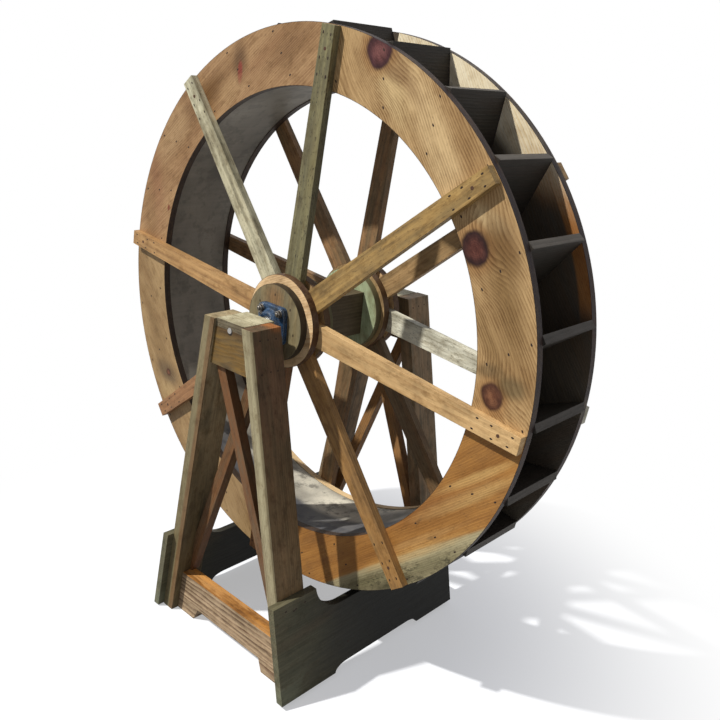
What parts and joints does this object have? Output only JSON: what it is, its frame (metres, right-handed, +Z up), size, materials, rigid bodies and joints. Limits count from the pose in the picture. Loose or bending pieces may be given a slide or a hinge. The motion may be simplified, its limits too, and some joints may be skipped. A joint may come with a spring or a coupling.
{
  "type": "garden water wheel on a timber trestle stand",
  "caption": "Overshot timber wheel with slanted bucket boards between two spoked rims, turning on a fixed steel shaft across two braced trestles.",
  "frame": {"origin": "centre of the bounding box on the floor", "axes": "+Z up, +X to the right across the front, Y along the shaft with the front at -Y"},
  "size_m": [1.409, 0.6644, 1.5815],
  "materials": {
    "ring_board": "weathered softwood board",
    "spoke_board": "weathered softwood board",
    "hub_board": "weathered softwood board",
    "bucket_board": "dark weathered board",
    "stand_timber": "grey-green weathered timber",
    "bearing_paint": "blue paint",
    "shaft_steel": "plain bright steel",
    "sheet_steel": "galvanised sheet"
  },
  "bodies": {
    "stand": {"shaft": "shaft_steel", "front_leg_left": "stand_timber", "front_leg_right": "stand_timber", "front_axle_block": "stand_timber", "front_cap_board": "stand_timber", "front_brace_down_right": "stand_timber", "front_brace_down_left": "stand_timber", "front_cross_beam": "stand_timber", "rear_leg_left": "stand_timber", "rear_leg_right": "stand_timber", "rear_axle_block": "stand_timber", "rear_cap_board": "stand_timber", "rear_brace_down_right": "stand_timber", "rear_brace_down_left": "stand_timber", "rear_cross_beam": "stand_timber", "base_board_left": "stand_timber", "base_board_right": "stand_timber"},
    "wheel": {"front_ring_upper_right": "ring_board", "front_ring_upper_left": "ring_board", "front_ring_lower_left": "ring_board", "front_ring_lower_right": "ring_board", "front_spokes_square": "spoke_board", "front_spokes_diagonal": "spoke_board", "front_disc_outer_small": "hub_board", "front_disc_outer_large": "hub_board", "front_disc_inner_large": "hub_board", "front_disc_inner_small": "hub_board", "front_bearing": "bearing_paint", "rear_ring_upper_right": "ring_board", "rear_ring_upper_left": "ring_board", "rear_ring_lower_left": "ring_board", "rear_ring_lower_right": "ring_board", "rear_spokes_square": "spoke_board", "rear_spokes_diagonal": "spoke_board", "rear_disc_outer_small": "hub_board", "rear_disc_outer_large": "hub_board", "rear_disc_inner_large": "hub_board", "rear_disc_inner_small": "hub_board", "rear_bearing": "bearing_paint", "buckets_upper_right": "bucket_board", "buckets_upper_left": "bucket_board", "buckets_lower_left": "bucket_board", "buckets_lower_right": "bucket_board", "hub_timber": "hub_board", "sole": "sheet_steel"}
  },
  "joints": [
    {"name": "wheel_spin", "type": "hinge", "parent": "stand", "child": "wheel", "pos_m": [0, 0.01925, 0.877], "axis": [0, -1, 0], "continuous": true}
  ]
}
